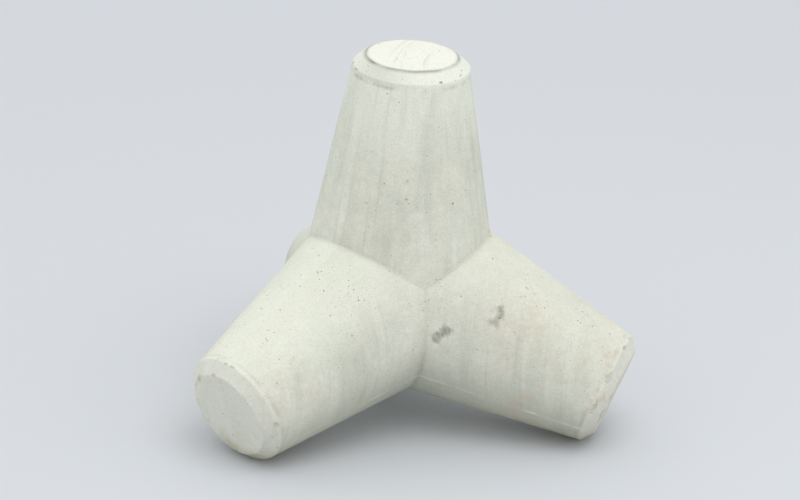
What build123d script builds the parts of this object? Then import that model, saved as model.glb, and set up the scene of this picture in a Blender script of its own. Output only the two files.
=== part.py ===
from build123d import *
import math
import os

# Cast concrete tetrapod, an armour block for breakwaters: four equal tapered legs that meet in
# one body, each leg's axis at the tetrahedral angle to the other three.
# Millimetres, +Z up.  The origin is the centre of the body, where the four axes cross.
# The block stands on three legs, one of them along +Y, and the fourth points straight up.

# Legs, measured from the body's centre
leg_length = 1153.0        # centre to the flat end of a leg
leg_end_radius = 270.0     # radius of the leg's cone at its flat end, before the edge is cut back
leg_centre_radius = 473.0  # radius of the same cone at the body's centre
standing_legs = 3          # legs on the ground, shared equally round the upright one

# Edge of a leg's end: a sloped band, with its two corners rounded
end_band = 50.0
end_corner_radius = 18.0

# Hollow rounding where two legs' walls meet
crease_radius = 20.0

# Hole of a mould tie, square to the upright leg's wall, between two standing legs
tie_hole_radius = 20.0
tie_hole_depth = 80.0
tie_dish_radius = 50.0     # shallow dish round the hole's mouth
tie_dish_angle = 130.0     # full angle of the dish's cone, in degrees
tie_height = 370.0         # above the body's centre, where the hole opens in the wall
tie_direction = 30.0       # round +Z from +X, in degrees

# Turn between two leg axes, in degrees
leg_angle = math.degrees(math.acos(-1 / 3))

# The legs start short of the centre, and a ball inside their walls fills the middle
leg_taper = (leg_centre_radius - leg_end_radius) / leg_length
leg_start = leg_centre_radius / 4
core_radius = leg_centre_radius * 0.8

# The middle of the hole's mouth, and the direction in which the wall faces there
wall_slope = math.atan(leg_taper)
wall_radius = leg_centre_radius - leg_taper * tie_height
tie_mouth = Vector(wall_radius, 0, tie_height).rotate(Axis.Z, tie_direction)
tie_outward = Vector(math.cos(wall_slope), 0, math.sin(wall_slope)).rotate(Axis.Z, tie_direction)

os.makedirs("parts", exist_ok=True)

# One leg, turned about +Z from half of its outline, then its end's edge cut back and softened
with BuildPart() as leg:
    with BuildSketch(Plane.YZ):
        with BuildLine():
            Polyline(
                (0, leg_start),
                (leg_centre_radius - leg_taper * leg_start, leg_start),
                (leg_end_radius, leg_length),
                (0, leg_length),
                close=True,
            )
        make_face()
    revolve(axis=Axis.Z)
    end_edge = leg.edges().filter_by(GeomType.CIRCLE).sort_by(Axis.Z)[-1]
    chamfer(end_edge, length=end_band)
    band_edges = leg.edges().filter_by(GeomType.CIRCLE).sort_by(Axis.Z)[-2:]
    fillet(band_edges, radius=end_corner_radius)

with BuildPart() as tetrapod:
    # The upright leg, and the same leg tilted down and repeated round it
    Sphere(core_radius)
    add(leg.part)
    with PolarLocations(radius=0, count=standing_legs):
        with Locations(Location((0, 0, 0), (-leg_angle, 0, 180))):
            add(leg.part)

    # Of all the edges the creases come nearest to the centre, all of them equally near
    creases = tetrapod.edges().group_by(
        lambda edge: edge.distance_to(Vertex(0, 0, 0)),
        tol_digits=1,
    )[0]
    fillet(creases, radius=crease_radius)

    with Locations(Plane(tie_mouth, z_dir=tie_outward)):
        CounterSinkHole(
            radius=tie_hole_radius,
            counter_sink_radius=tie_dish_radius,
            depth=tie_hole_depth,
            counter_sink_angle=tie_dish_angle,
        )

tetrapod.part.label = "tetrapod"
export_step(tetrapod.part, "parts/tetrapod.step")
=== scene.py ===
# %% [markdown]
# # A cast concrete tetrapod
# A tetrapod is a block with four thick legs, cast in concrete and laid by the hundred along a
# shore, where the blocks lock together and take the force out of the waves.  The CAD model is
# already made and to size, so this script only makes what the CAD leaves out: a denser skin
# with the marks of the mould in it, and weathered concrete to cover it.  The CAD model's box is
# kept, and the finished skin is clipped to it.

# %% Load the CAD model
import math

import bmesh
import bpy
import numpy as np
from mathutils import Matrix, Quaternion, Vector


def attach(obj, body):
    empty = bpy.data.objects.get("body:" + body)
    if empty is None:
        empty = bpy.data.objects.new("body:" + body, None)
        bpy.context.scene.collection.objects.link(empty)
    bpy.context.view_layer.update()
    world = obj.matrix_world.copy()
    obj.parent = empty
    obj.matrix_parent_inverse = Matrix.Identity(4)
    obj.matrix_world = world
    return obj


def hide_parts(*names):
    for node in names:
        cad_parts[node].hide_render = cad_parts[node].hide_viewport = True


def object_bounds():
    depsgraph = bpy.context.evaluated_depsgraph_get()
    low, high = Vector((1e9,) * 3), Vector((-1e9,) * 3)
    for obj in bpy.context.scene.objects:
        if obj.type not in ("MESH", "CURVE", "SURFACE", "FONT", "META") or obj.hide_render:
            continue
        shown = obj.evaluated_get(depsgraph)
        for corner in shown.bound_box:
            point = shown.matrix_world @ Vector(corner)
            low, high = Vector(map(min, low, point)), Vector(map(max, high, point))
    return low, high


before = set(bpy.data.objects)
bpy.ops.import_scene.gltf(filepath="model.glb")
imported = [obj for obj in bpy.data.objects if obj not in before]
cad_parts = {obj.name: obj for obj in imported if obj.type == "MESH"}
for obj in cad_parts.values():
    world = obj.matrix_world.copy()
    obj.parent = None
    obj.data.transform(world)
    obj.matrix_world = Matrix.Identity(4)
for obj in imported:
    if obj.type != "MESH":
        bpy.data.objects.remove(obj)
cad_low, cad_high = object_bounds()
print("CAD box, low and high:", [round(value, 4) for value in (*cad_low, *cad_high)])

# %% [markdown]
# ## Where the legs point
# The four legs point to the corners of a tetrahedron, so any two of them stand 109.5 degrees
# apart and no leg differs from the others.  One points straight up.  The other three share the
# circle round it and dip by a third of their length.  Each leg also needs the three directions
# square to its own axis that face its neighbours, because the mould was parted there.

# %% Leg directions
standing_turns = np.radians([90, 210, 330])
level_share = math.sqrt(8) / 3
leg_axes = np.vstack((
    [0, 0, 1],
    np.column_stack((
        level_share * np.cos(standing_turns),
        level_share * np.sin(standing_turns),
        np.full(3, -1 / 3),
    )),
))
leg_count = len(leg_axes)
each_leg = np.arange(leg_count)

# facing[a, b] is square to leg a and points to the side where leg b is
facing = (leg_axes[None, :, :] + leg_axes[:, None, :] / 3) / level_share
facing[each_leg, each_leg] = 0
print("angle between two legs:", round(math.degrees(math.acos(leg_axes[0] @ leg_axes[1])), 2))

# %% [markdown]
# ## The outline of a leg
# A leg is round and tapers evenly to a flat end, whose edge is cut back by a sloped band so
# that it doesn't break off.  A lathe would turn it from one outline, and so does this script:
# the outline is a row of (distance from the centre, radius) pairs.  The two corners of the band
# are arcs, because a mould's corner is never sharp and because light needs a round to catch.

# %% Sizes of a leg
leg_length = 1.153
leg_end_radius = 0.270
leg_centre_radius = 0.473
leg_taper = (leg_centre_radius - leg_end_radius) / leg_length
slope = math.atan(leg_taper)
end_band = 0.050
end_corner_radius = 0.018
print("a leg's wall leans in by", round(math.degrees(slope), 2), "degrees")


# %% A rounded corner
def rounded_corner(before, corner, after, radius, steps):
    """Points along the arc that rounds a corner of an outline.

    The arc's centre is on the line that halves the corner, as far out that the circle just
    touches both sides.  Its ends are the two touching points.
    """
    back = (before - corner) / np.linalg.norm(before - corner)
    on = (after - corner) / np.linalg.norm(after - corner)
    half = math.acos(back @ on) / 2
    middle = (back + on) / np.linalg.norm(back + on)
    centre = corner + middle * radius / math.sin(half)
    ends = corner + np.array((back, on)) * radius / math.tan(half) - centre
    start, stop = np.unwrap(np.arctan2(ends[:, 1], ends[:, 0]))
    turns = np.linspace(start, stop, steps)
    return centre + radius * np.column_stack((np.cos(turns), np.sin(turns)))


quarter = rounded_corner(np.array((0, 1)), np.array((1, 1)), np.array((1, 0)), 1, 3)
print("a quarter of a round:", quarter.round(2).tolist())

# %% Outline of the leg's end
centre_point = np.array((0, leg_centre_radius))
wall_corner = np.array((
    leg_length - end_band * math.cos(slope),
    leg_end_radius + end_band * math.sin(slope),
))
flat_corner = np.array((leg_length, leg_end_radius - end_band))
flat_middle = np.array((leg_length, 0))

corner_steps = 5
wall_round = rounded_corner(
    centre_point, wall_corner, flat_corner, end_corner_radius, corner_steps,
)
flat_round = rounded_corner(
    wall_corner, flat_corner, flat_middle, end_corner_radius, corner_steps,
)
wall_end = wall_round[0, 0]
flat_round_radius = flat_round[corner_steps // 2, 1]
flat_edge_radius = flat_round[-1, 1]

# The flat's points are denser in its outer fifth, where the chips reach in
outer_share = 0.22
band_points = np.linspace(wall_round[-1], flat_round[0], 10)[1:-1]
flat_shares = np.concatenate((
    np.linspace(0, outer_share, 8)[1:],
    np.linspace(outer_share, 1, 9)[1:],
))
flat_points = flat_round[-1] + np.outer(flat_shares, flat_middle - flat_round[-1])
end_outline = np.vstack((wall_round, band_points, flat_round, flat_points))
print("end outline:", len(end_outline), "points, wall ends at", wall_round[0].round(4))

# %% [markdown]
# ## Where the legs meet
# Two equal cones cut each other in the plane that lies halfway between their axes.  On a leg's
# own wall that cut is a wave: it runs highest where the leg faces its neighbour and dips
# between two neighbours, where three legs meet in a hollow.  Starting every leg's grid on that
# wave means that the four grids touch in the same points and can be welded into one skin.

# %% Crease between two legs
def crease_distance(side_turn):
    """Distance along a leg's axis at which its wall meets the neighbour's.

    The plane halfway between the axes holds the points whose distance along the leg is
    tan(half the gap) = 0.707 times their reach towards the neighbour, and the reach is the
    cone's radius there times the cosine of the turn away from the neighbour.
    """
    lean = np.cos(side_turn) / math.sqrt(2)
    return lean * leg_centre_radius / (1 + lean * leg_taper)


print("crease, highest and lowest:", crease_distance(np.radians([0, 60])).round(4))

# %% [markdown]
# ## One grid for every leg
# A grid has rows out along the leg and columns round it.  The columns stand closer together at
# the three mould seams, and the rows closer together at the crease and at the end, because
# narrow details and chips would fall between the lines of an even grid.  Each leg is made of
# three equal sectors that face its three neighbours and mirror each other, which keeps the
# seams of the grids exact.

# %% Rows and columns
# Degrees from the seam to the middle of the shell beside it
half_sector = np.radians(np.concatenate(([0, 0.6, 1.2, 2.2], np.linspace(4, 60, 37))))
sector = np.concatenate((-half_sector[:0:-1], half_sector[:-1]))
column_turns = np.concatenate([sector + math.radians(120) * part for part in range(3)])
column_side_turns = np.tile(sector, 3)
column_count = len(column_turns)

# Shares of the way from the crease to the end of the wall
row_shares = np.concatenate((
    [0, 0.003, 0.006, 0.010, 0.015, 0.022],
    np.linspace(0.032, 0.93, 54),
    np.linspace(0.94, 1, 8),
))
crease = crease_distance(column_side_turns)
wall_distance = crease + np.outer(row_shares, wall_end - crease)
wall_radius = leg_centre_radius - leg_taper * wall_distance

grid_distance = np.vstack((wall_distance, np.tile(end_outline[1:, :1], column_count)))
grid_radius = np.vstack((wall_radius, np.tile(end_outline[1:, 1:], column_count)))
row_count = len(grid_distance)
print("grid of one leg:", row_count, "rows by", column_count, "columns")


# %% Points and faces of a leg
def leg_points(leg):
    """Grid of one leg's points: distance * axis + radius * (cos(turn) * u + sin(turn) * v).

    u is square to the axis and faces a neighbouring leg, and v is square to both.
    """
    axis = leg_axes[leg]
    u = facing[leg, (leg + 1) % leg_count]
    v = np.cross(axis, u)
    ring = np.outer(np.cos(column_turns), u) + np.outer(np.sin(column_turns), v)
    return grid_distance[..., None] * axis + grid_radius[..., None] * ring


def closed_grid_faces(rows, columns):
    """Four corners of each face between two rows, where the last column joins the first."""
    row, column = np.indices((rows - 1, columns))
    beside = (column + 1) % columns
    return np.stack((
        row * columns + column,
        row * columns + beside,
        (row + 1) * columns + beside,
        (row + 1) * columns + column,
    ), axis=-1)


leg_grids = [leg_points(leg) for leg in range(leg_count)]
leg_faces = closed_grid_faces(row_count, column_count)
print("faces of one leg:", leg_faces[..., 0].size)

# %% [markdown]
# ## The hole of a mould tie
# The halves of a steel mould are held by a tie rod, and where it passed, a small hole with a
# shallow dish round it stays in the wall of the upright leg.  A round hole doesn't fit a square
# grid.  So a small window is left open in the grid, and rings of points lead from the window's
# square edge to the dish's round rim, down the dish, down the hole and to its bottom.

# %% Mouth of the hole
tie_height = 0.370
tie_turn = math.radians(30)
tie_hole_radius = 0.020
tie_hole_depth = 0.080
tie_dish_radius = 0.050
tie_dish_angle = 130
tie_dish_slope = math.tan(math.radians(90 - tie_dish_angle / 2))

# The mouth lies on the wall.  Outward is square to the wall, sideways is level
outward = np.array((
    math.cos(tie_turn) * math.cos(slope),
    math.sin(tie_turn) * math.cos(slope),
    math.sin(slope),
))
sideways = np.array((-math.sin(tie_turn), math.cos(tie_turn), 0))
upward = np.cross(outward, sideways)
mouth_radius = leg_centre_radius - leg_taper * tie_height
mouth = np.array((
    math.cos(tie_turn) * mouth_radius,
    math.sin(tie_turn) * mouth_radius,
    tie_height,
))
print("hole opens at", mouth.round(4), "and faces", outward.round(4))

# %% Window in the upright leg's grid
upright = leg_grids[0]
nearest = np.argmin(np.linalg.norm(upright - mouth, axis=-1))
middle_row, middle_column = np.unravel_index(nearest, grid_distance.shape)
row_reach, column_reach = 5, 6
rows = np.arange(middle_row - row_reach, middle_row + row_reach + 1)
columns = np.arange(middle_column - column_reach, middle_column + column_reach + 1)

edge_rows = np.concatenate((
    np.full(2 * column_reach, rows[0]), rows[:-1],
    np.full(2 * column_reach, rows[-1]), rows[:0:-1],
))
edge_columns = np.concatenate((
    columns[:-1], np.full(2 * row_reach, columns[-1]),
    columns[:0:-1], np.full(2 * row_reach, columns[0]),
))
window_edge = upright[edge_rows, edge_columns % column_count]

kept_faces = np.ones(leg_faces.shape[:2], bool)
kept_faces[rows[0]:rows[-1], columns[:-1] % column_count] = False
upright_faces = leg_faces[kept_faces]
print("window:", len(window_edge), "points round the edge")

# %% Points on the wall and in a ring
edge_turns = np.arctan2((window_edge - mouth) @ upward, (window_edge - mouth) @ sideways)
cosine, sine = np.cos(edge_turns), np.sin(edge_turns)


def on_wall(points):
    """Moves points level, towards or away from the leg's axis, on to its wall."""
    reach = np.linalg.norm(points[:, :2], axis=1)
    target = leg_centre_radius - leg_taper * points[:, 2]
    moved = points.copy()
    moved[:, :2] *= (target / reach)[:, None]
    return moved


def ring_at(radius, depth):
    """A ring round the hole's axis, below the wall's touching plane by the depth.

    Each of its points stands at the same turn round the axis as one point of the window's edge.
    """
    return (
        mouth + np.outer(radius * cosine, sideways) + np.outer(radius * sine, upward)
        - np.outer(depth * np.ones(len(sine)), outward)
    )


print("the window's edge starts at", round(math.degrees(edge_turns[0]), 1), "degrees")

# %% [markdown]
# The dish gets shallower outward while the round wall falls away, and the two meet at the rim.
# The wall falls by f * r^2, where f is the square of the turn's cosine over twice the wall's
# radius, and the dish rises to it by its slope s, so the rim's reach r solves
# s * (dish radius - r) = f * r^2.

# %% Rings from the window down into the hole
fall = cosine ** 2 / (2 * mouth_radius)
rim_reach = 2 * tie_dish_slope * tie_dish_radius / (
    tie_dish_slope + np.sqrt(tie_dish_slope ** 2 + 4 * fall * tie_dish_slope * tie_dish_radius)
)
rim = on_wall(ring_at(rim_reach, 0))
halfway = on_wall((window_edge + rim) / 2)
beside_rim = on_wall(rim + (halfway - rim) * 0.12)
dish_depth = tie_dish_slope * (tie_dish_radius - tie_hole_radius)
hole_edge = ring_at(tie_hole_radius, dish_depth)

hole_rings = np.array([
    window_edge, halfway, beside_rim, rim,
    *[rim + (hole_edge - rim) * share for share in (0.33, 0.67)],
    hole_edge,
    *[ring_at(tie_hole_radius, depth) for depth in (0.03, 0.05, 0.07, tie_hole_depth)],
    ring_at(tie_hole_radius / 2, tie_hole_depth),
    ring_at(0, tie_hole_depth),
])
print("dish is", round(dish_depth * 1000, 1), "mm deep, in", len(hole_rings), "rings")

# %% [markdown]
# ## One closed skin
# The real block is cast in one pour, so it has to be one closed skin as well.  The four grids
# and the hole's rings share their edge points, and welding points that lie in the same place
# closes all the seams and the middle points of the flat ends.  A closed skin has a volume, so
# printing it shows at once whether a hole or a turned face is left.

# %% Weld the grids
all_points = np.concatenate([grid.reshape(-1, 3) for grid in leg_grids + [hole_rings]])
grid_size = row_count * column_count
all_faces = np.concatenate((
    upright_faces,
    *[leg_faces.reshape(-1, 4) + grid_size * leg for leg in range(1, leg_count)],
    closed_grid_faces(*hole_rings.shape[:2]).reshape(-1, 4) + grid_size * leg_count,
))

skin_mesh = bpy.data.meshes.new("tetrapod_skin")
skin_mesh.from_pydata(all_points.tolist(), [], all_faces.tolist())

weld_distance = 0.00002
welder = bmesh.new()
welder.from_mesh(skin_mesh)
bmesh.ops.remove_doubles(welder, verts=welder.verts, dist=weld_distance)
loose = [vertex for vertex in welder.verts if not vertex.link_faces]
bmesh.ops.delete(welder, geom=loose, context="VERTS")
open_edges = sum(not edge.is_manifold for edge in welder.edges)
print("open edges:", open_edges, " volume in m3:", round(welder.calc_volume(signed=True), 4))
welder.to_mesh(skin_mesh)
welder.free()

# %% [markdown]
# ## Reading a point's place on the block
# From here on the skin is one list of points, and every mark is worked out from where a point
# lies: which leg it is on, how far out, how near a mould seam and how near a crease.  Working
# them out again from the position alone gives welded points one clear answer.

# %% Leg, distance and radius of each point
point_count = len(skin_mesh.vertices)
points = np.empty(point_count * 3)
skin_mesh.vertices.foreach_get("co", points)
points = points.reshape(-1, 3)
normals = np.empty(point_count * 3)
skin_mesh.vertex_normals.foreach_get("vector", normals)
normals = normals.reshape(-1, 3)

each_point = np.arange(point_count)
reach_along = points @ leg_axes.T
leg = reach_along.argmax(axis=1)
on_upright = leg == 0
distance = reach_along[each_point, leg]
across = points - distance[:, None] * leg_axes[leg]
radius = np.linalg.norm(across, axis=1)
across = across / np.maximum(radius, 0.0001)[:, None]
print("points on each leg:", np.bincount(leg))

# %% Seam, crease, flat end and hole
# How far a point turns towards each neighbour: the nearest holds a seam, the furthest names
# the quarter of the mould that the point was cast in
side_cosines = np.einsum("nk,nbk->nb", across, facing[leg])
side_cosines[each_point, leg] = np.nan
side_turn = np.arccos(np.clip(np.nanmax(side_cosines, axis=1), -1, 1))
mould_part = np.nanargmin(side_cosines, axis=1)
seam_distance = radius * np.sin(side_turn)
crease_gap = (distance - crease_distance(side_turn)) / math.cos(slope)
on_flat = (distance > leg_length - 0.0005) & (radius < flat_edge_radius + 0.002)

# The distance from the hole's axis only counts on the hole's own side of the block
out_of_mouth = (points - mouth) @ outward
on_hole_side = out_of_mouth > -0.2
hole_distance = np.linalg.norm((points - mouth) - np.outer(out_of_mouth, outward), axis=1)
hole_distance[~on_hole_side] = 1
print("points:", point_count, " in each mould part:", np.bincount(mould_part))


# %% [markdown]
# ## Clouds of random numbers
# Nothing cast outdoors is even, and most of its unevenness is soft.  Clouds are made by
# standing a random number at every corner of a cubic lattice and blending between them.  A
# fixed seed gives the same clouds at every run.

# %% Clouds
def clouds(places, size, seed):
    """Soft random values from -1 to 1 that change over the given size in metres.

    A point takes the numbers at the eight corners of its lattice cell.  Each corner weighs
    by the point's nearness along x, y and z, eased with 3t^2 - 2t^3.
    """
    # The shift keeps the numbers of all cells above zero
    shift = 1000
    lattice_size = 64
    lattice = np.random.default_rng(seed).uniform(-1, 1, (lattice_size,) * 3)
    cells = places / size + shift
    low = np.floor(cells).astype(int)
    part = cells - low
    part = part * part * (3 - 2 * part)
    total = np.zeros(len(places))
    for corner in np.ndindex(2, 2, 2):
        weight = np.where(corner, part, 1 - part).prod(axis=1)
        x, y, z = ((low + corner) % lattice_size).T
        total += weight * lattice[x, y, z]
    return total


wavy = clouds(points, 0.35, 1)
uneven = clouds(points, 0.09, 2)
print("clouds run from", wavy.min().round(2), "to", wavy.max().round(2))


# %% [markdown]
# A second helper draws soft lines and spots.  Almost every mark below is one: strong in its
# middle and fading out evenly on both sides.

# %% Soft lines and spots
def soft(offset, width):
    """1 where the offset is 0, fading out over the width as exp(-(offset / width)^2)."""
    return np.exp(-(offset / width) ** 2)


print("half a width off the middle a soft line keeps", round(float(soft(0.5, 1)), 2))

# %% [markdown]
# ## The relief of the mould
# The mould has four curved steel shells, one to each hollow between three legs.  They never
# meet quite flush, so each cast part sits a millimetre off its neighbour, and a little grout
# squeezes out into a thin ridge along the seam, which soon breaks off in places.  All of it is
# cut inward from the CAD surface, so that the block doesn't grow, and it fades where the block
# touches the floor.

# %% Shells, seams and creases
mould_part_offset = np.array((-0.0008, -0.0013, -0.0018, -0.0004))[mould_part]
relief = mould_part_offset - 0.0011 * (1 + wavy) - 0.0006 * (1 + uneven)

ridge_width, ridge_height = 0.0045, 0.0026
on_wall_part = distance < wall_end
ridge_share = 0.35 + 0.9 * clouds(points, 0.10, 3) + 0.4 * clouds(points, 0.03, 17)
ridge_share = np.clip(ridge_share, 0, 1)
ridge = soft(seam_distance, ridge_width) * ridge_share * on_wall_part
relief += ridge_height * ridge

# In the crease the mould was rounded: the hollow fills the corner up to the arc's own height.
# The walls bend by 50.6 degrees there, and the arc touches each of them at its radius times
# the tangent of half the bend
crease_radius = 0.020
crease_bend = math.radians(50.6)
touch = crease_radius * math.tan(crease_bend / 2)
inside = np.clip(touch - crease_gap, 0, touch)
relief += crease_radius - np.sqrt(crease_radius ** 2 - inside ** 2)
print("relief before damage:", relief.min().round(4), "to", relief.max().round(4))

# %% [markdown]
# ## The trowelled end
# The upright leg's end is the one face that no mould touched.  The concrete was poured in
# there, struck off and roughly floated, so it is lumpy and dips a little.  The float's strokes
# are arcs round the place where the worker stood, and along the mould's edge it left a groove.

# %% Trowelled end and its groove
trowelled = on_flat & on_upright
worker = np.array((0.52, -0.30, 0))
stroke_width = 0.030
swing = np.linalg.norm((points - worker)[:, :2], axis=1)
bearing = np.arctan2((points - worker)[:, 1], (points - worker)[:, 0])
stroke_place = np.column_stack((swing / stroke_width, bearing * 3.0, np.zeros(point_count)))
strokes = clouds(stroke_place, 1.0, 4)
floated = 0.0022 * (1 + clouds(points, 0.11, 5)) + 0.0014 * (1 + strokes)
relief = np.where(trowelled, -floated * np.clip(1.3 - radius / 0.26, 0.35, 1), relief)

groove_width, groove_depth = 0.006, 0.0045
near_flat = distance > leg_length - 0.012
groove_gap = radius - flat_round_radius
groove_share = np.clip(0.6 + 0.8 * clouds(points, 0.06, 9), 0.1, 1)
groove = soft(groove_gap, groove_width) * groove_share * on_upright * near_flat
relief -= groove_depth * groove
in_groove = int((groove > 0.3).sum())
print("points on the trowelled face:", int(trowelled.sum()), " in the groove:", in_groove)

# %% [markdown]
# ## The chipped edges
# The edges of all four ends took knocks when the block was lifted and laid.  A knock breaks a
# shell-shaped flake off, so each chip is the bite of an egg whose centre lies outside the block
# and whose long axis lies along the edge.  Points inside the egg are pushed in until they lie
# on it, which leaves the crisp rim that concrete breaks with.

# %% Place and size of the chips
dice = np.random.default_rng(7)
chip_count = 56
chip_leg = np.arange(chip_count) % leg_count
chip_turn = dice.uniform(0, 2 * math.pi, chip_count)

# A chip sits where the band meets the wall, or where at_flat is 1, where it meets the flat end
at_flat = dice.integers(0, 2, chip_count)
chip_edge = np.array((wall_corner, flat_corner))[at_flat]

# Halfway between the directions that the two faces of an edge look in
chip_lean = np.radians((60, 20))[at_flat]
egg_size = dice.uniform(0.014, 0.042, chip_count) * np.where(chip_leg == 0, 0.6, 1.0)
egg_stretch = dice.uniform(1.2, 2.6, chip_count)
bite_depth = egg_size * dice.uniform(0.10, 0.28, chip_count)

chip_u = facing[chip_leg, (chip_leg + 1) % leg_count]
chip_v = np.cross(leg_axes[chip_leg], chip_u)
chip_ring = np.cos(chip_turn)[:, None] * chip_u + np.sin(chip_turn)[:, None] * chip_v
chip_tangent = np.cross(leg_axes[chip_leg], chip_ring)
egg_place = chip_edge + (egg_size - bite_depth)[:, None] * np.column_stack((
    np.cos(chip_lean), np.sin(chip_lean),
))
egg_centres = egg_place[:, :1] * leg_axes[chip_leg] + egg_place[:, 1:] * chip_ring
print("chips:", chip_count, " on the upright leg:", int((chip_leg == 0).sum()))

# %% Bite of each egg
chip_depth = np.zeros(point_count)
rough = 1 + 0.08 * clouds(points, 0.022, 8) + 0.05 * clouds(points, 0.009, 16)
for centre, tangent, size, stretch in zip(egg_centres, chip_tangent, egg_size, egg_stretch):
    to_egg = centre - points
    to_egg -= np.outer(to_egg @ tangent * (1 - 1 / stretch), tangent)
    gap = np.linalg.norm(to_egg, axis=1)
    faced = np.einsum("nk,nk->n", to_egg, normals) / np.maximum(gap, 0.001)
    bite = np.clip(size * rough - gap, 0, size) / np.clip(faced, 0.6, 1)
    chip_depth = np.maximum(chip_depth, bite * (faced > 0))
relief = np.minimum(relief, -chip_depth)
print("deepest chip:", round(float(chip_depth.max()) * 1000, 1), "mm")

# %% Push the points in
floor_fade, hole_fade = 0.05, 0.02
near_floor = np.clip((points[:, 2] - cad_low.z) / floor_fade, 0, 1)
near_hole = np.clip((hole_distance - tie_dish_radius) / hole_fade, 0, 1)
push = relief * near_floor * near_hole
moved = points + push[:, None] * normals
moved = np.clip(moved, np.array(cad_low), np.array(cad_high))
skin_mesh.vertices.foreach_set("co", moved.ravel())
skin_mesh.shade_smooth()
skin_mesh.set_sharp_from_angle(angle=math.radians(40))
skin_mesh.update()

skin = bpy.data.objects.new("tetrapod_skin", skin_mesh)
bpy.context.scene.collection.objects.link(skin)
skin_mesh.calc_loop_triangles()
print("triangles:", len(skin_mesh.loop_triangles))


# %% [markdown]
# ## Marks that the material reads
# Some marks belong to a place on the block and can't be had from a texture: the seam's line,
# the dirt and painted shade in a crease, the pale ends, the tone of each mould part and the side
# that the weather and the light come from.  They are stored as one number per point, under a
# name that the material can look up.  The groove's dark ring, dirt and painted shade, is wider
# than the groove, because rain spreads the dirt.

# %% Marks of the mould and of wear
def store_mark(name, values):
    """Keeps one number per point, from 0 to 1, under a name in the mesh."""
    mark = skin_mesh.attributes.new(name, "FLOAT", "POINT")
    mark.data.foreach_set("value", np.clip(values, 0, 1).astype(np.float32))


band_foot, end_rim = 0.012, 0.004
# The dark ring round the trowelled end: dirt, and painted shade in the groove
groove_dirt_and_shade = soft(groove_gap, 0.010) * near_flat * on_upright
store_mark("part_tone", np.array((0.45, 0.20, 0.10, 1.00))[mould_part])
# The side with more weather is also the side with more light: upward faces are painted paler there
store_mark("weather_and_light_side", 0.5 - 0.3 * points[:, 0])
store_mark("seam", soft(seam_distance, 0.006) * on_wall_part * ridge_share)
# Dirt and painted shade in the crease, fading out over 16 mm
store_mark("crease", soft(crease_gap, 0.016))
store_mark("end_face", (distance - leg_length + end_rim) / end_rim)
store_mark("band", (distance - wall_end + band_foot) / 0.010)
store_mark("trowelled", trowelled)
store_mark("groove", groove_dirt_and_shade * (0.35 + 0.65 * groove_share))
store_mark("chip", chip_depth / 0.005)
in_chip = int((chip_depth > 0).sum())
print("points at a seam:", int((seam_distance < 0.006).sum()), " in a chip:", in_chip)

# %% [markdown]
# Dirt has its places too.  Two dark smudges sit on the wall of one front leg, the lower one
# beside the crease, and the tie hole's dish is darkened towards the hole with dirt and painted
# shade.  Water that leaves the band of an end drops its dirt in a thin line just below, more on
# the upright leg, where one side of the band stays grey as well.

# %% Smudges and drips
smudge_reach = 0.029
smudge = np.zeros(point_count)
for upper, lower in (
    (np.array((0.344, -0.528, 0.060)), np.array((0.314, -0.548, 0.005))),
    (np.array((0.092, -0.515, -0.025)), np.array((0.050, -0.505, -0.075))),
):
    # A smudge fades with the distance from the line between its upper and its lower end
    line = lower - upper
    share = np.clip((points - upper) @ line / (line @ line), 0, 1)
    smudge_distance = np.linalg.norm(points - upper - np.outer(share, line), axis=1)
    smudge += soft(smudge_distance, smudge_reach)
smudge *= np.clip(0.75 + 0.7 * clouds(points, 0.022, 10), 0, 1)
dish_edge = 0.0005
in_dish = np.clip((tie_dish_radius + dish_edge - hole_distance) / dish_edge, 0, 1)
# The dish is darkened towards the hole: dirt, and painted shade in the hollow
smudge += in_dish * (0.18 + 0.45 * soft(hole_distance, 0.032))
store_mark("smudge", smudge)

drip_drop, drip_width = 0.020, 0.008
drip = soft(wall_end - distance - drip_drop, drip_width)
drip *= np.clip(0.45 + 0.8 * clouds(points, 0.045, 11) + 0.5 * clouds(points, 0.012, 12), 0, 1)
drip *= np.where(on_upright, 1.0, 0.5)
grey_side = np.array((-0.82, -0.57, 0))
on_top_band = on_upright & (distance > wall_end - band_foot) & ~on_flat
drip = np.maximum(drip, 0.45 * np.clip(across @ grey_side, 0, 1) ** 6 * on_top_band)
store_mark("drip", drip)
print("points in a smudge:", int((smudge > 0.3).sum()), " in a drip:", int((drip > 0.3).sum()))

# %% [markdown]
# Splashed soil gave the lower sides of the standing legs a warm stain, and one of them is a
# little warmer in its middle.  Rusty water ran out of the tie hole, in a run that widens and
# fades on its way down.

# %% Soil and rust
leg_soil = np.array((0.0, 0.55, 0.45, 1.0))[leg]
soil = np.clip(0.15 + 0.9 * clouds(points, 0.11, 13) + 0.7 * clouds(points, 0.04, 14), 0, 1)
soil *= leg_soil * np.clip((distance - 0.50) / 0.30, 0, 1)
soil *= np.clip((0.02 - points[:, 2]) / 0.22, 0, 1)
warm_middle = np.array((0.46, -0.58, 0.0))
soil += 0.6 * soft(np.linalg.norm(points - warm_middle, axis=1), 0.16)
store_mark("soil", soil)

rust_start, rust_length = 0.01, 0.16
below_hole = mouth[2] - points[:, 2]
beside_hole = (points - mouth) @ sideways
rust_width = 0.014 + 0.08 * np.clip(below_hole, 0, 1) * (1 + 0.6 * clouds(points, 0.05, 15))
rust = np.exp(-(beside_hole / rust_width) ** 2 - np.clip(below_hole, 0, 1) / rust_length)
rust *= (below_hole > rust_start) & on_upright & on_hole_side
store_mark("rust", rust)
print("points with soil:", int((soil > 0.3).sum()), " with rust:", int((rust > 0.3).sum()))

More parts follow.
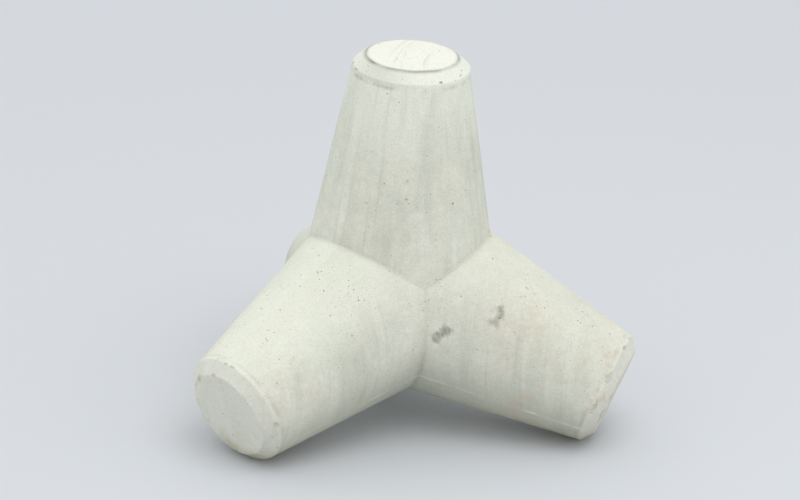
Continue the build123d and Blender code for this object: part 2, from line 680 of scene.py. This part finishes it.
# %% [markdown]
# Rain runs down a wall, and a trowel leaves arcs.  Both leave long narrow streaks, so both are
# drawn with one noise texture, stretched along the streak.  It needs to know where across and
# where along a streak each point lies, so that is stored as well, as three numbers per point.
# On the upright leg a streak keeps its place round the axis, and on a lower leg it keeps its
# level distance along the leg.  On the trowelled end it keeps its distance from the worker.

# %% Direction of the streaks
level_axes = leg_axes * (1, 1, 0)
side_axes = np.cross((0, 0, 1), leg_axes)

# The second number only sets the lower legs and the trowelled face apart from each other
between_legs, trowelled_apart = 5.0, 30
streak_place = np.column_stack((
    np.einsum("nk,nk->n", points, level_axes[leg]),
    between_legs * leg,
    points[:, 2],
))
formed_end = on_flat & ~on_upright
streak_place[formed_end, 0] = np.einsum("nk,nk->n", points, side_axes[leg])[formed_end]

upright_middle_radius = 0.36
trowel_arcs = np.column_stack((swing, np.full(point_count, trowelled_apart), 0.6 * bearing))
streak_place[on_upright, :2] = upright_middle_radius * across[on_upright, :2]
streak_place[trowelled] = trowel_arcs[trowelled]

along_streak = skin_mesh.attributes.new("streak_place", "FLOAT_VECTOR", "POINT")
along_streak.data.foreach_set("vector", streak_place.astype(np.float32).ravel())
print("attributes in the mesh:", len(skin_mesh.attributes))


# %% [markdown]
# ## Nodes in short
# A material is a small factory of nodes.  One function adds any of them: it makes the node,
# sets its options, and for each input either links what it is given or sets the number.
# Colours are written as on screen, in hex, and turned into the linear light that Blender counts in.

# %% Colours and nodes
def linear(hex_colour):
    """Linear red, green, blue and 1 from a hex colour.

    Each share s of 255 becomes s / 12.92 in the darks, else ((s + 0.055) / 1.055) ^ 2.4.
    """
    shares = np.array([int(hex_colour[start:start + 2], 16) for start in (1, 3, 5)]) / 255
    light = np.where(shares <= 0.04045, shares / 12.92, ((shares + 0.055) / 1.055) ** 2.4)
    return (*light.tolist(), 1)


def add_node(tree, kind, inputs, **options):
    """Adds a node, sets its options, then links or sets each input by its name or number."""
    node = tree.nodes.new(kind)
    for option, value in options.items():
        setattr(node, option, value)
    for key, value in inputs.items():
        if isinstance(value, bpy.types.NodeSocket):
            tree.links.new(value, node.inputs[key])
        else:
            node.inputs[key].default_value = value
    return node


# %% [markdown]
# ## Weathered cast concrete
# The block is grey Portland cement concrete, vibrated in a steel mould, then left for years in
# sun, rain and salt air.  Steel leaves the wall smooth and close, with small round holes where
# air was trapped against it.  Cement is matt and pale grey, a little yellow; rain draws it down
# in upright streaks, washes the upper faces pale, and leaves dirt in creases and underneath.
# The pale upper faces also carry painted sky light, and the darker creases and undersides also
# carry painted shade.

# %% Start of the concrete
concrete = bpy.data.materials.new("cast_concrete_weathered")
concrete.use_nodes = True
tree = concrete.node_tree
tree.nodes.clear()
place = add_node(tree, "ShaderNodeTexCoord", {}).outputs["Object"]
surface_normal = add_node(tree, "ShaderNodeNewGeometry", {}).outputs["Normal"]
height = add_node(tree, "ShaderNodeSeparateXYZ", {0: place}).outputs["Z"]
facing_up = add_node(tree, "ShaderNodeSeparateXYZ", {0: surface_normal}).outputs["Z"]

marks = {}
for name in (
    "part_tone", "weather_and_light_side", "seam", "crease", "end_face", "band", "trowelled", "groove",
    "chip", "smudge", "drip", "soil", "rust",
):
    marks[name] = add_node(tree, "ShaderNodeAttribute", {}, attribute_name=name).outputs["Fac"]
print("marks that the concrete reads:", len(marks))

# %% [markdown]
# The cloudy tone has sizes of its own: patches of half a metre from uneven mixing, warmer
# patches where the cement's film is thicker, blotches of a hand's width where the wall dried
# at different times, finger-wide mottling, and a sand-grain speckle.  Real sand is 1 to 2 mm,
# too fine for the picture, so it is drawn at 8 mm.  A noise texture mostly gives numbers from
# 0.3 to 0.7, so each is stretched to the whole range from 0 to 1.

# %% Clouds of tone
tones = {}
for name, size, detail in (
    ("patch", 0.45, 3.0),
    ("warm", 0.30, 2.0),
    ("blotch", 0.10, 4.0),
    ("mottle", 0.030, 3.0),
    ("grain", 0.008, 2.0),
):
    # The same clouds in another place for each size, so that their middles never meet
    own_place = add_node(
        tree, "ShaderNodeMapping", {"Vector": place, "Location": (3 * size + 7, detail, 9)},
    ).outputs[0]
    noise = add_node(
        tree, "ShaderNodeTexNoise", {"Vector": own_place, "Scale": 1 / size, "Detail": detail},
    ).outputs["Fac"]
    tones[name] = add_node(
        tree, "ShaderNodeMapRange", {"Value": noise, "From Min": 0.3, "From Max": 0.7},
    ).outputs[0]
print("clouds of tone:", ", ".join(tones))

# %% [markdown]
# Streaks are clouds stretched along their length: 20 to 110 mm across and most of a metre long.
# Rain leaves them only on steep walls, and not everywhere alike.

# %% Streaks
streaks_at = add_node(
    tree, "ShaderNodeAttribute", {}, attribute_name="streak_place",
).outputs["Vector"]
steepness = add_node(tree, "ShaderNodeMath", {0: facing_up}, operation="ABSOLUTE").outputs[0]
steep = add_node(
    tree, "ShaderNodeMapRange", {"Value": steepness, "From Min": 0.75, "From Max": 0.35},
    interpolation_type="SMOOTHSTEP",
).outputs[0]

length_scale = 1.7
lines = {}
rain = {}
for name, width, bare, full in (
    ("dark_narrow", 0.020, 0.52, 0.72),
    ("dark_wide", 0.110, 0.48, 0.68),
    ("pale", 0.035, 0.47, 0.30),
):
    # Each width starts in a place of its own, so that no streak lies in another
    stretched = add_node(tree, "ShaderNodeMapping", {
        "Vector": streaks_at,
        "Location": (width * 99, 0, 0),
        "Scale": (1 / width, 1 / width, length_scale),
    }).outputs[0]
    noise = add_node(tree, "ShaderNodeTexNoise", {
        "Vector": stretched, "Scale": 1.0, "Detail": 3.0, "Distortion": 0.3,
    }).outputs["Fac"]
    lines[name] = add_node(
        tree, "ShaderNodeMapRange", {"Value": noise, "From Min": bare, "From Max": full},
        interpolation_type="SMOOTHSTEP",
    ).outputs[0]
    rain[name] = add_node(
        tree, "ShaderNodeMath", {0: lines[name], 1: steep}, operation="MULTIPLY",
    ).outputs[0]
print("streaks:", ", ".join(rain))

# %% [markdown]
# Air bubbles rise in the wet concrete and are caught under the mould, so they leave most holes
# on faces that look up, in crowds.  A Voronoi texture scatters points in space and measures the
# distance to the nearest, so a small distance is a round hole.  Each point also has a random
# colour, which makes its hole large or small, and bending the space makes holes a little odd.
# Real ones are 1 to 15 mm across, and the smallest are drawn larger so that the picture keeps them.

# %% Where air was trapped
bend_size, bend_reach, crowd_size = 0.03, 0.014, 0.14
bend = add_node(
    tree, "ShaderNodeTexNoise", {"Vector": place, "Scale": 1 / bend_size},
).outputs["Color"]
bent_place = add_node(
    tree, "ShaderNodeVectorMath", {0: bend, 1: (bend_reach,) * 3, 2: place},
    operation="MULTIPLY_ADD",
).outputs[0]
trapped = add_node(
    tree, "ShaderNodeMapRange",
    {"Value": facing_up, "From Min": -0.1, "From Max": 0.7, "To Min": 0.55},
).outputs[0]
crowd_noise = add_node(
    tree, "ShaderNodeTexNoise", {"Vector": place, "Scale": 1 / crowd_size, "Detail": 2.0},
).outputs["Fac"]
crowd_range = add_node(
    tree, "ShaderNodeMapRange",
    {"Value": crowd_noise, "From Min": 0.38, "From Max": 0.64, "To Min": 0.25},
).outputs[0]
crowd = add_node(
    tree, "ShaderNodeMath", {0: crowd_range, 1: trapped}, operation="MULTIPLY",
).outputs[0]
print("nodes so far:", len(tree.nodes))

# %% Air holes of three sizes
air_holes = None
for spacing, hole_reach in ((0.080, 0.016), (0.036, 0.009), (0.017, 0.005)):
    bubbles = add_node(tree, "ShaderNodeTexVoronoi", {"Vector": bent_place, "Scale": 1 / spacing})
    hole_share = add_node(
        tree, "ShaderNodeMath", {0: bubbles.outputs["Color"], 1: crowd}, operation="MULTIPLY",
    ).outputs[0]
    nearness = add_node(
        tree, "ShaderNodeMath", {0: bubbles.outputs["Distance"], 1: hole_share},
        operation="DIVIDE",
    ).outputs[0]
    hole = add_node(
        tree, "ShaderNodeMapRange",
        {
            "Value": nearness,
            "From Min": hole_reach / spacing,
            "From Max": 0.25 * hole_reach / spacing,
        },
        interpolation_type="SMOOTHSTEP",
    ).outputs[0]
    if air_holes is None:
        air_holes = hole
    else:
        air_holes = add_node(
            tree, "ShaderNodeMath", {0: air_holes, 1: hole}, operation="MAXIMUM",
        ).outputs[0]
print("nodes so far:", len(tree.nodes))

# %% [markdown]
# Height sorts the rest.  The last lift of concrete, the top 300 mm, was mixed a little paler.
# The block's feet stay damp, so splashed soil and algae colour the lowest 100 mm.  Both
# limits wander up and down with the blotches.  Faces that look up are painted paler, partly
# washed by the rain and partly painted sky light, more so on the side where the weather and the
# light come from.  Faces that look down are painted darker, partly dirt and partly painted shade.

# %% Masks by height and by facing
ragged_height = add_node(
    tree, "ShaderNodeMath", {0: tones["blotch"], 1: 0.12, 2: height}, operation="MULTIPLY_ADD",
).outputs[0]
masks = {}
for name, source, nothing, everything in (
    ("last_lift", ragged_height, 0.74, 1.04),
    ("splash", ragged_height, -0.42, -0.58),
    ("low", ragged_height, 0.05, -0.20),
    ("washed_and_sky_lit", facing_up, 0.20, 0.90),
    ("unwashed_and_shaded", facing_up, 0.05, -0.70),
):
    masks[name] = add_node(
        tree, "ShaderNodeMapRange",
        {"Value": source, "From Min": nothing, "From Max": everything},
        interpolation_type="SMOOTHSTEP",
    ).outputs[0]
print("masks by place:", ", ".join(masks))

# %% [markdown]
# Some marks only show where two things come together, such as a crease that also lies low, or
# strokes of the trowel on the trowelled end.  Multiplying two masks leaves what they share.
# The smudges and the dish's painted shade get a ragged edge from the mottling.

# %% Masks of two things together
pale_lines = add_node(
    tree, "ShaderNodeMapRange", {"Value": lines["pale"], "To Min": 1.0, "To Max": 0.3},
).outputs[0]
for name, one, other in (
    ("washed_and_lit_side", masks["washed_and_sky_lit"], marks["weather_and_light_side"]),
    ("low_crease_dirt_and_shade", marks["crease"], masks["low"]),
    ("trowel_lines", lines["dark_narrow"], marks["trowelled"]),
    ("soil_specks", marks["soil"], tones["mottle"]),
    ("rust_runs", marks["rust"], pale_lines),
):
    masks[name] = add_node(
        tree, "ShaderNodeMath", {0: one, 1: other}, operation="MULTIPLY",
    ).outputs[0]

ragged_smudge_and_shade = add_node(
    tree, "ShaderNodeMath", {0: tones["mottle"], 1: 0.4, 2: marks["smudge"]},
    operation="MULTIPLY_ADD",
).outputs[0]
masks["smudges"] = add_node(
    tree, "ShaderNodeMapRange", {"Value": ragged_smudge_and_shade, "From Min": 0.42, "From Max": 1.15},
).outputs[0]
print("all masks:", ", ".join(masks))


# %% [markdown]
# The colour is laid on as a painter would: a ground tone first, then layer over layer, each
# with its own mask.  A mask of 0 leaves what is below and 1 covers it.

# %% Ground tone, weather and lift
def layer(below, above, mask, share):
    """Covers a colour with another one where the mask says so, to at most the given share."""
    scaled = add_node(
        tree, "ShaderNodeMath", {0: mask, 1: share}, operation="MULTIPLY", use_clamp=True,
    ).outputs[0]
    return add_node(
        tree, "ShaderNodeMix", {0: scaled, 6: below, 7: above}, data_type="RGBA",
    ).outputs[2]


colour = layer(linear("#d0d4c5"), linear("#e3e5d6"), tones["patch"], 1.0)
colour = layer(colour, linear("#e4dad0"), tones["warm"], 0.40)
colour = layer(colour, linear("#eaede1"), marks["part_tone"], 0.50)
colour = layer(colour, linear("#b9bdae"), tones["blotch"], 0.28)
colour = layer(colour, linear("#b9bcb0"), tones["mottle"], 0.22)
colour = layer(colour, linear("#e7eadd"), masks["last_lift"], 0.65)
colour = layer(colour, linear("#b2b6a7"), rain["dark_wide"], 0.25)
colour = layer(colour, linear("#a9ad9e"), rain["dark_narrow"], 0.20)
colour = layer(colour, linear("#e6e8dd"), rain["pale"], 0.28)
# Upward faces painted paler: washed by rain, and painted sky light as well, most on the lit side
colour = layer(colour, linear("#e9edde"), masks["washed_and_lit_side"], 0.90)
# Faces that look down painted darker: dirt, and painted shade as well
colour = layer(colour, linear("#a0a292"), masks["unwashed_and_shaded"], 0.50)
print("nodes so far:", len(tree.nodes))

# %% Ends, edges and dirt
colour = layer(colour, linear("#e6e8de"), marks["band"], 0.40)
colour = layer(colour, linear("#e4e5da"), marks["end_face"], 0.35)
colour = layer(colour, linear("#eeefe5"), marks["trowelled"], 0.60)
colour = layer(colour, linear("#cdcebf"), masks["trowel_lines"], 0.40)
colour = layer(colour, linear("#e6e6da"), marks["seam"], 0.30)
# Creases painted darker with dirt and painted shade, darker still where they lie low
colour = layer(colour, linear("#a4a697"), marks["crease"], 0.15)
colour = layer(colour, linear("#85857a"), masks["low_crease_dirt_and_shade"], 0.20)
colour = layer(colour, linear("#9c9f90"), marks["drip"], 0.60)
# Groove round the trowelled end painted dark: dirt and painted shade
colour = layer(colour, linear("#83847a"), marks["groove"], 0.85)
# Smudges are dirt; in the tie hole's dish the darkening is dirt and painted shade
colour = layer(colour, linear("#78796d"), masks["smudges"], 0.90)
colour = layer(colour, linear("#d0baa6"), masks["soil_specks"], 0.65)
colour = layer(colour, linear("#a08562"), masks["rust_runs"], 0.55)
colour = layer(colour, linear("#958c6c"), masks["splash"], 0.55)
print("nodes so far:", len(tree.nodes))

# %% [markdown]
# A chip shows what the smooth cement film hides: crushed stones of about 15 mm, each with a grey
# of its own.  Voronoi cells have one random colour each, which makes them stones.  The air
# holes, painted dark as the shade inside them, lie over everything, and the grain makes each
# spot a little darker or lighter.

# %% Stones in the chips, holes and grain
stone_size = 0.015
cells = add_node(tree, "ShaderNodeTexVoronoi", {"Vector": bent_place, "Scale": 1 / stone_size})
stones = layer(linear("#8a877b"), linear("#d6d3c8"), cells.outputs["Color"], 1.0)
ragged_chip = add_node(
    tree, "ShaderNodeMath", {0: tones["mottle"], 1: 0.5, 2: marks["chip"]},
    operation="MULTIPLY_ADD",
).outputs[0]
broken = add_node(
    tree, "ShaderNodeMapRange", {"Value": ragged_chip, "From Min": 0.52, "From Max": 0.72},
    interpolation_type="SMOOTHSTEP",
).outputs[0]
colour = layer(colour, stones, broken, 0.5)
# Air holes painted dark: painted shade inside the holes
colour = layer(colour, linear("#66675d"), air_holes, 0.65)
speckle = add_node(
    tree, "ShaderNodeMapRange", {"Value": tones["grain"], "To Min": 0.93, "To Max": 1.05},
).outputs[0]
colour = add_node(
    tree, "ShaderNodeVectorMath", {0: colour, "Scale": speckle}, operation="SCALE",
).outputs[0]
print("nodes so far:", len(tree.nodes))

# %% [markdown]
# What is finer than the mesh is left to a bump: blotches, mottling and grain stand up a little,
# and air holes and broken faces go in.  Concrete has no gloss but a faint sheen where the
# cement film is whole, so the roughness stays high and wanders with the blotches.

# %% Relief too fine for the mesh
bump_height = tones["blotch"]
for relief_part, share in (
    (tones["grain"], 0.22), (tones["mottle"], 0.18), (air_holes, -0.9), (broken, -0.4),
):
    bump_height = add_node(
        tree, "ShaderNodeMath", {0: relief_part, 1: share, 2: bump_height},
        operation="MULTIPLY_ADD",
    ).outputs[0]
bump = add_node(
    tree, "ShaderNodeBump", {"Height": bump_height, "Strength": 1.0, "Distance": 0.003},
)
print("nodes so far:", len(tree.nodes))

# %% Surface of the concrete
matt = add_node(
    tree, "ShaderNodeMapRange", {"Value": tones["blotch"], "To Min": 0.82, "To Max": 0.98},
).outputs[0]
shader = add_node(tree, "ShaderNodeBsdfPrincipled", {
    "Base Color": colour,
    "Roughness": matt,
    "Normal": bump.outputs[0],
    "Specular IOR Level": 0.35,
    "IOR": 1.5,
})
add_node(tree, "ShaderNodeOutputMaterial", {"Surface": shader.outputs[0]})
skin_mesh.materials.append(concrete)

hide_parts("tetrapod")
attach(skin, "root")
print("nodes in the concrete:", len(tree.nodes))

# %% [markdown]
# ## Floor, light and camera
# The block stands on a plain pale floor under an overcast sky: the light comes from everywhere,
# a little more from above and in front.  The camera stands 22.6 m off, as in the
# photograph, and a long lens brings the block close without changing its perspective.

# %% Floor
floor_reach = 60.0
floor_corners = 96
floor_turns = np.linspace(0, 2 * math.pi, floor_corners + 1)[:-1]
floor_rim = np.column_stack((
    floor_reach * np.cos(floor_turns),
    floor_reach * np.sin(floor_turns),
    np.full(floor_corners, cad_low.z),
))
floor_mesh = bpy.data.meshes.new("floor")
floor_mesh.from_pydata(floor_rim.tolist(), [], [list(range(floor_corners))])
floor = bpy.data.objects.new("floor", floor_mesh)
bpy.context.scene.collection.objects.link(floor)

floor_paint = bpy.data.materials.new("plain_floor")
floor_paint.use_nodes = True
floor_shader = floor_paint.node_tree.nodes["Principled BSDF"]
floor_shader.inputs["Base Color"].default_value = linear("#d2d6db")
floor_shader.inputs["Roughness"].default_value = 0.9
floor_mesh.materials.append(floor_paint)
print("floor lies at", round(cad_low.z, 4))

# %% Light
world = bpy.data.worlds.new("overcast")
world.use_nodes = True
sky = world.node_tree.nodes["Background"]
sky.inputs["Color"].default_value = (1, 1, 1, 1)
sky.inputs["Strength"].default_value = 0.95
bpy.context.scene.world = world

soft_box = bpy.data.lights.new("soft_box", "AREA")
soft_box.shape = "DISK"
soft_box.size = 6.0
soft_box.energy = 150.0
soft_box_object = bpy.data.objects.new("soft_box", soft_box)
soft_box_object.location = (0.8, -3.4, 8.3)
soft_box_object.rotation_mode = "QUATERNION"
soft_box_object.rotation_quaternion = (-soft_box_object.location).to_track_quat("-Z", "Y")
bpy.context.scene.collection.objects.link(soft_box_object)
print("soft box is", round(soft_box_object.location.length, 1), "m from the block's centre")

# %% Camera
camera_turn = math.radians(-16.8)
camera_rise = math.radians(22.0)
camera_distance = 22.6
camera_lean = math.radians(3.6)
aim = Vector((0.0, 0.0, 0.17))

back = Vector((
    math.sin(camera_turn) * math.cos(camera_rise),
    -math.cos(camera_turn) * math.cos(camera_rise),
    math.sin(camera_rise),
))
camera_data = bpy.data.cameras.new("camera")
camera_data.lens = 215.0
camera_data.sensor_width = 36.0
camera_data.clip_end = 200.0
camera = bpy.data.objects.new("camera", camera_data)
camera.rotation_mode = "QUATERNION"
camera.location = aim + back * camera_distance
camera.rotation_quaternion = (-back).to_track_quat("-Z", "Y") @ Quaternion((0, 0, 1), camera_lean)
bpy.context.scene.collection.objects.link(camera)
bpy.context.scene.camera = camera
bpy.context.scene.view_settings.view_transform = "Standard"
print("camera stands at", [round(value, 2) for value in camera.location])
